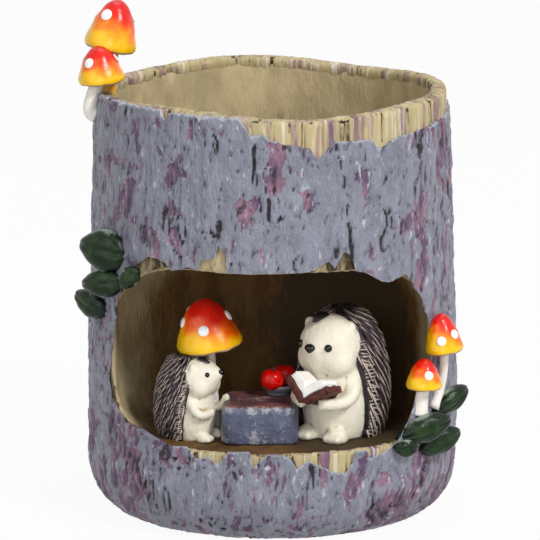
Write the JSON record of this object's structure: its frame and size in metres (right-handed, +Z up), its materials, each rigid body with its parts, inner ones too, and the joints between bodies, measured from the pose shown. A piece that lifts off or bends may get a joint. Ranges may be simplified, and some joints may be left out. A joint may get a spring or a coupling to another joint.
{
  "type": "tree stump planter",
  "caption": "Small tree-stump plant pot with an open planting room, a drain hole and a den in its front where hedgehog figures read among toadstools and leaves.",
  "frame": {"origin": "centre of the flat foot that the stump stands on", "axes": "+Z up through the planting room, -Y out of the den's mouth, +X to the right of someone who looks into the den"},
  "size_m": [0.0985, 0.0936, 0.1289],
  "materials": {
    "bark": "matte painted resin, grey-blue bark over tan wood",
    "stem": "satin cream painted resin",
    "cap": "glossy paint shaded from red crown to yellow brim",
    "spot": "glossy white paint",
    "leaf": "dark green paint, half gloss",
    "table": "matte grey-blue paint with a brown top",
    "dish": "matte beige paint",
    "apple": "glossy red paint",
    "fur": "satin cream paint",
    "quills": "dark brown paint, dry brushed with cream",
    "eye": "glossy black paint",
    "book_cover": "dark maroon-brown paint, half gloss",
    "page": "matte white paint with brown page lines"
  },
  "bodies": {
    "root": {"stump_body": "bark", "rim_toadstool_tall_stem": "stem", "rim_toadstool_tall_cap": "cap", "rim_toadstool_short_stem": "stem", "rim_toadstool_short_cap": "cap", "rim_toadstool_spots": "spot", "side_toadstool_upper_stem": "stem", "side_toadstool_upper_cap": "cap", "side_toadstool_lower_stem": "stem", "side_toadstool_lower_cap": "cap", "side_toadstool_spots": "spot", "left_leaf_top": "leaf", "left_leaf_middle": "leaf", "left_leaf_low": "leaf", "left_leaf_inner": "leaf", "right_leaf_top": "leaf", "right_leaf_middle": "leaf", "right_leaf_low": "leaf", "right_leaf_inner": "leaf", "log_table": "table", "fruit_dish": "dish", "apple_front": "apple", "apple_back": "apple", "parent_body": "fur", "parent_quill_coat": "quills", "parent_ears": "fur", "parent_eyes": "eye", "parent_nose": "eye", "parent_feet": "fur", "parent_left_arm": "fur", "parent_right_arm": "fur", "book_cover": "book_cover", "book_pages": "page", "young_body": "fur", "young_quill_coat": "quills", "young_ears": "fur", "young_eyes": "eye", "young_nose": "eye", "young_feet": "fur", "young_near_arm": "fur", "young_far_arm": "fur", "umbrella_toadstool_stem": "stem", "umbrella_toadstool_cap": "cap", "umbrella_toadstool_spots": "spot"}
  },
  "joints": []
}
